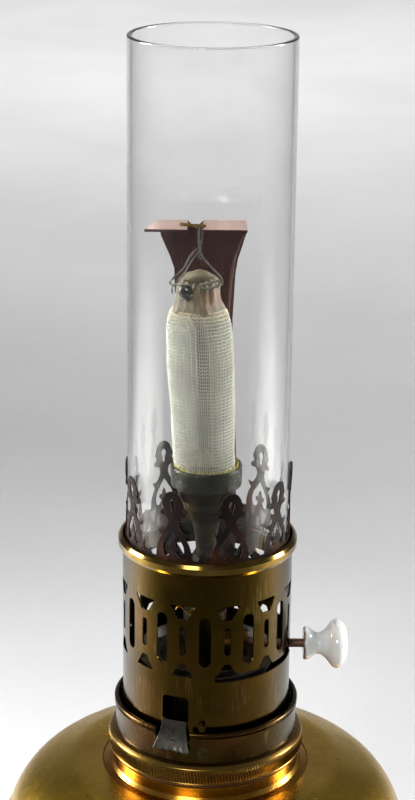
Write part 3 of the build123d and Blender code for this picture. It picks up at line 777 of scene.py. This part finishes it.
def makeFloor():
    depth, points, faces = 44, [], []
    for i in range(depth + 1):
        t = i / depth
        if t < 0.7:
            spot = (-2.6 + t / 0.7 * 6.6, 0.0)
        elif i == depth:
            spot = (5.5, 4.0)  # the backdrop goes on upwards
        else:
            turn = (t - 0.7) / 0.3 * math.pi / 2
            spot = (4.0 + 1.5 * math.sin(turn), 1.5 * (1 - math.cos(turn)))
        for side in range(-6, 7):
            points.append((side * 1.4, spot[0], spot[1]))
    for i in range(depth):
        for k in range(12):
            row = i * 13 + k
            faces.append((row, row + 1, row + 14, row + 13))
    floor = newPiece("studio_floor", points, faces, "floorCloth")


def addLight(name, place, aim, power, size, tint=(1.0, 1.0, 1.0), spread=180):
    lamp = bpy.data.lights.new(name, "AREA")
    lamp.shape = "RECTANGLE"
    lamp.size, lamp.size_y = size
    lamp.energy = power
    lamp.color = tint
    lamp.spread = math.radians(spread)
    holder = bpy.data.objects.new(name, lamp)
    holder.location = place
    holder.rotation_euler = (Vector(aim) - Vector(place)).to_track_quat("-Z", "Y").to_euler()
    bpy.context.scene.collection.objects.link(holder)


def makeStudio():
    for name, values in lights.items():
        addLight(name, *values)
    world = bpy.data.worlds.new("soft_room")
    world.use_nodes = True
    grey = viewpoint["worldGrey"]
    world.node_tree.nodes["Background"].inputs[0].default_value = (grey, grey * 1.01, grey * 1.03, 1.0)
    bpy.context.scene.world = world
    lens = bpy.data.cameras.new("front_camera")
    lens.lens = viewpoint["lens"]
    lens.clip_end = 30.0
    camera = bpy.data.objects.new("front_camera", lens)
    tilt = Matrix.Rotation(math.radians(viewpoint["tilt"]), 4, "X")
    roll = Matrix.Rotation(math.radians(viewpoint["roll"]), 4, "Z")
    camera.matrix_world = Matrix.Translation(viewpoint["place"]) @ (tilt @ roll)
    bpy.context.scene.collection.objects.link(camera)
    bpy.context.scene.camera = camera
    bpy.context.scene.view_settings.view_transform = "Standard"


finishes["floorCloth"] = makeFloorCloth()
makeFloor()
makeStudio()
print("studio ready")


# The mantle: knitted stitch by stitch on the flat, then closed round its own leaning axis
mantle = dict(
    wales=60, courses=52, wale=1.0 * mm, yarn=0.155 * mm, loop=0.6, bow=0.17, foot=23.2, top=78.6,
    footX=-1.1, lean=2.57, gather=0.055, widest=10.0,
)


def knitTree():
    tree, given, result = newTree("knitMantle", [
        ("Wales", "NodeSocketInt", 60), ("Courses", "NodeSocketInt", 52), ("Wale", "NodeSocketFloat", 0.001),
        ("Course", "NodeSocketFloat", 0.001), ("Yarn", "NodeSocketFloat", 0.0002),
    ])
    line = put(tree, "GeometryNodeCurvePrimitiveLine", {"End": (1.0, 0.0, 0.0)}).outputs[0]
    line = put(tree, "GeometryNodeResampleCurve", {"Curve": line, "Count": 9}).outputs[0]
    along = put(tree, "GeometryNodeSplineParameter").outputs[0]
    turn = calc(tree, "MULTIPLY", along, 2 * math.pi)
    sway = calc(tree, "MULTIPLY", calc(tree, "SINE", calc(tree, "MULTIPLY", turn, 2.0)), mantle["bow"])
    across = calc(tree, "MULTIPLY", calc(tree, "ADD", calc(tree, "SUBTRACT", along, 0.5), sway), given["Wale"])
    rise = calc(tree, "MULTIPLY", calc(tree, "COSINE", turn), -mantle["loop"])
    rise = calc(tree, "MULTIPLY", rise, given["Course"])
    out = calc(tree, "MULTIPLY", calc(tree, "COSINE", calc(tree, "MULTIPLY", turn, 2.0)), given["Yarn"])
    spot = put(tree, "ShaderNodeCombineXYZ", {0: across, 1: rise, 2: out}).outputs[0]
    line = put(tree, "GeometryNodeSetPosition", {"Geometry": line, "Position": spot}).outputs[0]
    ring = put(tree, "GeometryNodeCurvePrimitiveCircle", {"Resolution": 3, "Radius": given["Yarn"]}).outputs[0]
    stitch = put(
        tree, "GeometryNodeCurveToMesh", {"Curve": line, "Profile Curve": ring, "Fill Caps": True},
    ).outputs[0]
    wide = calc(tree, "MULTIPLY", calc(tree, "SUBTRACT", given["Wales"], 1.0), given["Wale"])
    high = calc(tree, "MULTIPLY", calc(tree, "SUBTRACT", given["Courses"], 1.0), given["Course"])
    inputs = {"Size X": wide, "Size Y": high, "Vertices X": given["Wales"], "Vertices Y": given["Courses"]}
    grid = put(tree, "GeometryNodeMeshGrid", inputs).outputs[0]
    cloth = put(tree, "GeometryNodeInstanceOnPoints", {"Points": grid, "Instance": stitch}).outputs[0]
    cloth = put(tree, "GeometryNodeRealizeInstances", {0: cloth}).outputs[0]
    flat = put(tree, "ShaderNodeSeparateXYZ", {0: put(tree, "GeometryNodeInputPosition").outputs[0]}).outputs
    circle = calc(tree, "MULTIPLY", given["Wales"], given["Wale"])
    angle = calc(tree, "MULTIPLY", calc(tree, "DIVIDE", flat[0], circle), 2 * math.pi)
    pull = calc(tree, "SINE", calc(tree, "ADD", calc(tree, "MULTIPLY", angle, 6.0), 0.4))
    angle = calc(tree, "ADD", angle, calc(tree, "MULTIPLY", pull, mantle["gather"]))
    height = calc(tree, "ADD", flat[1], calc(tree, "MULTIPLY", high, 0.5))
    share = calc(tree, "DIVIDE", height, high)
    shape = put(tree, "ShaderNodeFloatCurve", {"Value": share})
    curve = shape.mapping.curves[0]
    curve.points[0].location = (0.0, 0.90)
    curve.points[1].location = (1.0, 0.70)
    for spotX, spotY in ((0.15, 0.93), (0.5, 0.975), (0.82, 1.0), (0.93, 0.92)):
        curve.points.new(spotX, spotY)
    shape.mapping.update()
    dents = put(
        tree, "ShaderNodeTexNoise",
        {"Vector": put(tree, "GeometryNodeInputPosition").outputs[0], "Scale": 90.0},
    ).outputs[0]
    reach = calc(tree, "MULTIPLY", shape.outputs[0], mantle["widest"] * mm)
    reach = calc(tree, "ADD", reach, calc(tree, "MULTIPLY", calc(tree, "SUBTRACT", dents, 0.5), 0.9 * mm))
    reach = calc(tree, "ADD", reach, flat[2])
    leaning = calc(tree, "MULTIPLY", height, -math.tan(math.radians(mantle["lean"])))
    x = calc(
        tree, "ADD", calc(tree, "MULTIPLY", reach, calc(tree, "SINE", angle)),
        calc(tree, "ADD", leaning, mantle["footX"] * mm),
    )
    y = calc(tree, "MULTIPLY", reach, calc(tree, "MULTIPLY", calc(tree, "COSINE", angle), -1.0))
    z = calc(tree, "ADD", height, up(mantle["foot"]))
    place = put(tree, "ShaderNodeCombineXYZ", {0: x, 1: y, 2: z}).outputs[0]
    cloth = put(tree, "GeometryNodeSetPosition", {"Geometry": cloth, "Position": place}).outputs[0]
    closeTree(tree, smoothShade(tree, cloth), "mantleYarn", result)
    return tree


def makeMantle():
    tree = knitTree()
    course = (mantle["top"] - mantle["foot"]) * mm / mantle["courses"]
    values = {
        "Wales": mantle["wales"], "Courses": mantle["courses"], "Wale": mantle["wale"], "Course": course,
        "Yarn": mantle["yarn"],
    }
    return runTree(emptyPiece("mantle_knit"), tree, values)


knit = makeMantle()
print("mantle knitted,", len(knit.data.polygons), "faces")

# The hardened head over the knit: gathered, ragged, and leaning with the mantle
head = dict(
    levels=[(76.6, 8.0), (77.8, 7.6), (79.6, 6.9), (82.2, 6.5), (84.6, 6.2), (86.3, 5.2), (87.4, 3.6), (88.0, 1.4)],
    pleats=17, depth=0.07, ragged=0.45, wall=0.45 * mm,
)


def axisX(level):
    return mantle["footX"] - math.tan(math.radians(mantle["lean"])) * (level - mantle["foot"])


def makeHead():
    rng = random.Random(4)
    rows = through(head["levels"], 4)
    steps, points, faces = 120, [], []
    jag = [rng.uniform(-1.0, 1.0) for _ in range(steps)]
    for level, radius in rows:
        share = (level - rows[0][0]) / (rows[-1][0] - rows[0][0])
        for k in range(steps):
            angle = 2 * math.pi * k / steps
            fold = 1.0 + head["depth"] * share * math.sin(head["pleats"] * angle + 2.0 * math.sin(3 * angle))
            reach = radius * fold * (1.0 + 0.03 * math.sin(5 * angle + 7 * share))
            low = head["ragged"] * jag[k] * max(0.0, 1.0 - share * 6.0)
            x = axisX(level) + 0.4 * share + reach * math.sin(angle)
            points.append(Vector((x * mm, -reach * math.cos(angle) * mm, up(level + low))))
    for i in range(len(rows) - 1):
        for k in range(steps):
            m = (k + 1) % steps
            faces.append((i * steps + k, i * steps + m, (i + 1) * steps + m, (i + 1) * steps + k))
    faces.append(tuple((len(rows) - 1) * steps + k for k in range(steps)))
    piece = newPiece("mantle_head", points, faces, "headCloth")
    wall = piece.modifiers.new("wall", "SOLIDIFY")
    wall.thickness = head["wall"]
    wall.offset = -1.0
    settle(piece)
    return tidyMesh(piece)


def makeFlap():
    # a tan leaf of stiffened cloth folded over the head
    left, top = Vector((-8.0, -4.2, 86.6)), Vector((-3.2, -3.6, 90.0))
    right, low = Vector((1.0, -4.2, 87.6)), Vector((-3.0, -7.2, 86.0))
    steps, points, faces = 18, [], []
    for i in range(steps + 1):
        t = i / steps
        back = (left * (1 - t) + top * t) * (1 - t) + (top * (1 - t) + right * t) * t
        back += Vector((0.0, 0.0, 1.2 * math.sin(math.pi * t)))
        front = (left * (1 - t) + low * t) * (1 - t) + (low * (1 - t) + right * t) * t
        for k in range(9):
            s = k / 8
            spot = back * (1 - s) + front * s + Vector(
                (0.0, -0.9, 0.5)
            ) * math.sin(math.pi * s) * math.sin(math.pi * t)
            spot += Vector((0.0, 0.0, 0.12)) * math.sin(17 * t + 5 * s)
            points.append(Vector((spot.x * mm, spot.y * mm, up(spot.z))))
    for i in range(steps):
        for k in range(8):
            row = i * 9 + k
            faces.append((row, row + 1, row + 10, row + 9))
    piece = newPiece("head_flap", points, faces, "headCloth")
    wall = piece.modifiers.new("wall", "SOLIDIFY")
    wall.thickness = 0.4 * mm
    wall.offset = 0.0
    settle(piece)
    return tidyMesh(piece)


# The asbestos-like thread: routes in millimetres over the bead
threadRoutes = dict(
    hanger=([(-3.3, 1.4, 101.4), (-3.7, 0.2, 99.0), (-3.4, 0.0, 95.6), (-3.3, -0.6, 92.6)], 0.42),
    hangerTwo=([(-2.5, 1.5, 101.3), (-2.6, 0.8, 98.2), (-3.2, 0.2, 95.2), (-2.9, -0.8, 91.8)], 0.36),
    leftOuter=(
        [
            (-3.4, 0.0, 95.6), (-6.0, -0.6, 93.2), (-7.8, -2.0, 90.0), (-10.6, -4.0, 87.6),
            (-12.0, -4.6, 85.6), (-9.4, -6.2, 85.6), (-6.2, -7.2, 86.1),
        ],
        0.36,
    ),
    leftInner=(
        [
            (-3.4, -0.4, 94.6), (-5.6, -1.6, 91.8), (-7.6, -3.4, 88.8), (-9.6, -4.8, 86.5),
            (-11.2, -4.4, 84.6), (-11.3, -4.2, 82.4),
        ],
        0.3,
    ),
    rightLoop=(
        [
            (-3.1, -0.4, 94.2), (-1.6, -1.2, 91.9), (1.4, -3.0, 89.2), (3.2, -4.2, 87.4), (3.5, -4.8, 85.6),
            (1.6, -6.0, 85.0),
        ],
        0.36,
    ),
    lobe=(
        [
            (-3.6, -7.3, 85.6), (-1.6, -7.6, 84.9), (0.8, -7.0, 85.1), (2.6, -6.0, 86.0), (2.4, -5.6, 87.0),
            (0.2, -6.6, 86.6), (-2.8, -7.4, 86.2),
        ],
        0.5,
    ),
)


def makeThreads():
    made = []
    for name, (route, size) in threadRoutes.items():
        points = [(x * mm, y * mm, up(z)) for x, y, z in route]
        made.append(
            strand("thread_" + name, points, size * 0.5 * mm, "oliveThread", sides=7, steps=9, twist=0.5, plies=2)
        )
    return made


button = dict(centre=(-7.47, -6.71, 83.4), turn=-28.0, radius=2.4, dome=1.3)


def makeButton():
    size = button["radius"]
    tall = button["dome"]
    outline = [
        (0.0, 0.0), (size * 0.8, 0.0), (size, 0.3), (size * 0.97, 0.7), (size * 0.8, 0.6 + tall * 0.55),
        (size * 0.45, 0.6 + tall * 0.85), (0.0, 0.6 + tall),
    ]
    section = through(outline, 4)
    steps, points, faces = 48, [], []
    turn = Matrix.Rotation(math.radians(button["turn"]), 4, "Z") @ Matrix.Rotation(math.radians(90), 4, "X")
    for i in range(steps):
        angle = 2 * math.pi * i / steps
        for radius, height in section:
            radius = max(radius, 0.02)
            spot = turn @ Vector((radius * math.cos(angle), radius * math.sin(angle), height - 0.7))
            cx, cy, cz = button["centre"]
            points.append(Vector(((cx + spot.x) * mm, (cy + spot.y) * mm, up(cz + spot.z))))
    count = len(section)
    for i in range(steps):
        j = (i + 1) % steps
        for k in range(count - 1):
            faces.append((i * count + k, j * count + k, j * count + k + 1, i * count + k + 1))
    faces.append(tuple(i * count for i in range(steps)))
    faces.append(tuple(i * count + count - 1 for i in reversed(range(steps))))
    return tidyMesh(newPiece("mantle_bead", points, faces, "buttonGlaze"), 0.000001, 50)


headPiece = makeHead()
flapPiece = makeFlap()
threads = makeThreads()
beadPiece = makeButton()
pin = dict(route=[(-9.3, 1.5, 102.3), (-5.4, 1.5, 101.95), (-1.5, 1.5, 101.8)], radius=0.5)
pinPoints = [(x * mm, y * mm, up(z)) for x, y, z in pin["route"]]
pinPiece = strand("mantle_pin", pinPoints, pin["radius"] * mm, "knurlBrass", sides=14, steps=6)
print("mantle head and thread made")

for piece in [knit, headPiece, flapPiece, beadPiece, pinPiece] + threads:
    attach(piece, "mantle_set")
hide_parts("mantle")
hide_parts("mantle_thread")
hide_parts("mantle_button")
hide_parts("hanging_pin")

# The knurled ring: a turned ring with fine leaning ribs all round
knurl = dict(ribs=200, lean=0.75 * mm, low=136.7, high=140.9, radius=30.95 * mm, tall=0.45 * mm, sunk=0.15 * mm)


def repeatTree(name, finish):
    tree, given, result = newTree(name, [("Count", "NodeSocketInt", 9), ("Start", "NodeSocketFloat", 0.0)])
    line = put(tree, "GeometryNodeMeshLine", {"Count": given["Count"], "Offset": (0.0, 0.0, 0.0)}).outputs[0]
    order = put(tree, "GeometryNodeInputIndex").outputs[0]
    turn = calc(
        tree, "ADD", calc(tree, "MULTIPLY", calc(tree, "DIVIDE", order, given["Count"]), 2 * math.pi),
        given["Start"],
    )
    way = put(tree, "ShaderNodeCombineXYZ", {2: turn}).outputs[0]
    copies = put(
        tree, "GeometryNodeInstanceOnPoints",
        {"Points": line, "Instance": given["Geometry"], "Rotation": way},
    ).outputs[0]
    closeTree(tree, copies, finish, result)
    return tree


def openEdges(piece):
    # how many edges don't lie between exactly two faces
    work = bmesh.new()
    work.from_mesh(piece.data)
    found = sum(1 for edge in work.edges if len(edge.link_faces) != 2)
    work.free()
    return found


def makeKnurl():
    low, high = knurl["low"] * mm, knurl["high"] * mm
    points, faces = [], []
    half = math.pi * knurl["radius"] / knurl["ribs"] * 0.95
    for k in range(5):
        t = k / 4
        height = low + (high - low) * t
        shift = knurl["lean"] * (0.5 - t)
        rise = knurl["tall"] * min(1.0, 3.0 * min(t, 1 - t) + 0.15)
        for side, out in ((-half, -knurl["sunk"]), (0.0, rise), (half, -knurl["sunk"]), (0.0, -2 * knurl["sunk"])):
            points.append((shift + side, -(knurl["radius"] + out), height))
    for k in range(4):
        for m in range(4):
            row, after = k * 4 + m, k * 4 + (m + 1) % 4
            faces.append((row, after, after + 4, row + 4))
    faces += [(3, 2, 1, 0), (16, 17, 18, 19)]
    rib = newPiece("ring_knurls", points, faces, "knurlBrass", smooth=False)
    ribs = runTree(rib, repeatTree("ringKnurls", "knurlBrass"), {"Count": knurl["ribs"], "Start": 0.0})
    outline = [
        (25.55, 135.8), (30.6, 135.8), (31.1, 136.2), (31.1, 136.6), (30.9, 136.8), (30.9, 140.8),
        (31.15, 141.0), (31.0, 141.6), (30.1, 142.4), (28.7, 142.8), (25.55, 142.8),
    ]
    body = lathe("ring_body", [(r * mm, z * mm) for r, z in rounded(outline, 0.2, 3)], "knurlBrass", 160)
    return body, ribs


ringBody, ringRibs = makeKnurl()
for piece in (ringBody, ringRibs):
    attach(piece, "burner")
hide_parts("knurled_ring")
print("ring made, open edges", openEdges(ringRibs))

# The crown: nine pierced prongs standing on a band, cut smooth and leaning out a little at their heads
crown = dict(prongs=9, firstAzimuth=16.0, radius=25.47, sheet=0.35 * mm, low=-1.75, lean=0.55, cell=0.9 * mm)


def crownOutlines():
    # one ninth of the crown, flat: x along the band, y over the bead, in millimetres
    half = math.pi * crown["radius"] / crown["prongs"]
    leg = through([(5.9, 4.5), (5.75, 7.0), (5.0, 9.6), (3.9, 11.4)], 5)
    spur = through([(3.9, 11.4), (4.6, 12.2), (5.1, 13.4)], 4) + through(
        [(5.1, 13.4), (3.6, 13.1), (2.4, 14.2), (1.5, 16.2)], 5,
    )
    crownHead = through(
        [
            (1.5, 16.2), (1.8, 17.7), (2.6, 18.4), (3.9, 18.5), (4.15, 19.6), (3.1, 20.6), (3.55, 22.0),
            (3.1, 23.4), (2.45, 25.0), (1.4, 26.1), (0.0, 26.5),
        ],
        4,
    )
    right = [Vector(p) for p in leg + spur + crownHead]
    bump = through([(half, 5.7), (half - 0.8, 5.2), (half - 1.3, 4.4)], 4)
    side = [Vector((half, crown["low"]))] + [Vector(p) for p in bump] + right
    outer = side + [Vector((-p.x, p.y)) for p in reversed(side[:-1])]
    archHalf = through([(1.9, 5.2), (3.1, 5.4), (3.55, 7.2), (3.2, 9.3), (2.0, 11.2), (0.9, 12.8), (0.0, 14.0)], 5)
    fleur = through(
        [(0.0, 10.8), (0.6, 9.6), (0.75, 8.8), (1.8, 8.5), (1.75, 7.4), (0.95, 6.8), (1.3, 5.9), (1.9, 5.2)],
        4,
    )
    arch = [(-p[0], p[1]) for p in archHalf] + [(p[0], p[1]) for p in reversed(archHalf[:-1])]
    arch += [(p[0], p[1]) for p in reversed(fleur[:-1])] + [(-p[0], p[1]) for p in fleur[1:-1]]
    keyhole = through(
        [
            (0.0, 19.4), (0.5, 20.0), (0.55, 21.2), (0.95, 22.4), (0.6, 23.5), (0.0, 23.9), (-0.6, 23.5),
            (-0.95, 22.4), (-0.55, 21.2), (-0.5, 20.0),
        ],
        4, True,
    )
    return [[(p[0] * mm, p[1] * mm) for p in line] for line in (outer, arch, keyhole)]


def crownPlace(x, y):
    out = crown["lean"] * max(0.0, (y / mm - 14.0) / 12.0) ** 1.5
    radius = (crown["radius"] + out) * mm
    angle = x / (crown["radius"] * mm)
    return Vector((radius * math.sin(angle), -radius * math.cos(angle), beadLevel + y))


def makeCrown():
    sector = sheetFrom("pierced_crown", crownOutlines(), crown["cell"], crown["sheet"], crownPlace, "burntCrown")
    start = math.radians(crown["firstAzimuth"])
    return runTree(sector, repeatTree("crownProngs", "burntCrown"), {"Count": crown["prongs"], "Start": start})


crownPiece = makeCrown()
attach(crownPiece, "gallery_set")
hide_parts("crown")
print("crown cut,", len(crownPiece.data.polygons), "faces, open edges", openEdges(crownPiece))

# The priming spout: a beaten tongue, hollow along its middle, that flares to a ragged lip
spout = dict(azimuth=-21.0, top=(27.25, 156.0, 8.0), lip=(30.6, 147.0, 12.2), hollow=0.55, thick=0.6 * mm)


def makeSpout():
    rng = random.Random(11)
    points, faces, rows, across = [], [], 16, 20
    turn = math.radians(spout["azimuth"])
    jag = [rng.uniform(-0.35, 0.35) for _ in range(across + 1)]
    for i in range(rows + 1):
        t = i / rows
        (r0, z0, w0), (r1, z1, w1) = spout["top"], spout["lip"]
        width = w0 + (w1 - w0) * t ** 1.8
        for k in range(across + 1):
            s = k / across * 2 - 1
            height = z0 + (z1 - z0) * t - (jag[k] + 0.5 * s * s) * max(0.0, t - 0.8) * 4
            reach = r0 + (r1 - r0) * (
                0.35 * t + 0.65 * t * t
            ) - spout["hollow"] * (1 - s * s) * math.sin(math.pi * t * 0.8)
            x = s * width / 2
            spot = Vector((x, -math.sqrt(max(reach * reach - x * x, 0.0)), 0.0))
            spot.rotate(Matrix.Rotation(turn, 3, "Z"))
            points.append((spot.x * mm, spot.y * mm, height * mm))
    for i in range(rows):
        for k in range(across):
            row = i * (across + 1) + k
            faces.append((row, row + across + 1, row + across + 2, row + 1))
    piece = newPiece("spout_tongue", points, faces, "dullTin")
    wall = piece.modifiers.new("wall", "SOLIDIFY")
    wall.thickness = spout["thick"]
    wall.offset = 0.0
    soft = piece.modifiers.new("edge", "BEVEL")
    soft.width = 0.15 * mm
    soft.segments = 2
    soft.limit_method = "ANGLE"
    settle(piece)
    return tidyMesh(piece, 0.000001)


spoutPiece = makeSpout()
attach(spoutPiece, "gallery_set")
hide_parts("priming_spout")
print("spout beaten")

# A bent brass clip on the gallery's inner wall, behind the slots: ends, folds and height over the bead
clip = dict(
    route=[
        (-9.6, -24.1, -12.0), (-8.3, -23.6, -10.9), (-5.7, -23.6, -12.9), (-3.9, -24.6, -11.4),
        (-3.2, -25.7, -11.9),
    ],
    radius=0.42,
)
clipPoints = [(x * mm, y * mm, up(z)) for x, y, z in clip["route"]]
clipPiece = strand("gallery_clip", clipPoints, clip["radius"] * mm, "knurlBrass", sides=10, steps=8)
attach(clipPiece, "gallery_set")

# Gauze collar round the mantle's foot: a band whose cut teeth stand up over the rim
teeth = dict(count=30, radius=10.15, low=22.1, base=25.0, tip=27.7, centre=-0.6, sheet=0.25 * mm)


def teethPlace(x, y):
    angle = x / (teeth["radius"] * mm)
    radius = (teeth["radius"] - 0.08 * max(0.0, y / mm - teeth["base"])) * mm
    return Vector((radius * math.sin(angle), -radius * math.cos(angle), beadLevel + y))


def makeTeeth():
    half = math.pi * teeth["radius"] / teeth["count"]
    outline = [
        (-half, teeth["low"]), (half, teeth["low"]), (half, teeth["base"]), (0.35, teeth["tip"]),
        (-0.35, teeth["tip"]), (-half, teeth["base"]),
    ]
    line = [(x * mm, y * mm) for x, y in outline]
    tooth = sheetFrom("gauze_teeth", [line], 0.7 * mm, teeth["sheet"], teethPlace, "brassGauze")
    ring = runTree(tooth, repeatTree("gauzeTeeth", "brassGauze"), {"Count": teeth["count"], "Start": 0.0})
    for v in ring.data.vertices:
        v.co.x += teeth["centre"] * mm
    return ring


teethPiece = makeTeeth()
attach(teethPiece, "burner")
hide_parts("gauze_collar")

# The raised fold along the copper strip's right side
ridge = dict(
    route=[(10.0, 96.5), (8.2, 91.5), (7.2, 88.0), (6.4, 82.0), (5.9, 76.0), (5.6, 70.0), (5.5, 60.0)],
    depth=11.25, radius=0.34,
)
ridgePoints = [(x * mm, ridge["depth"] * mm, up(z)) for x, z in ridge["route"]]
ridgePiece = strand(
    "copper_ridge", ridgePoints, ridge["radius"] * mm, "copper", sides=10, steps=8,
    taper=lambda t: 0.4 + 0.6 * math.sin(math.pi * t),
)
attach(ridgePiece, "burner")
print("gauze teeth and copper fold made, open edges", openEdges(teethPiece))
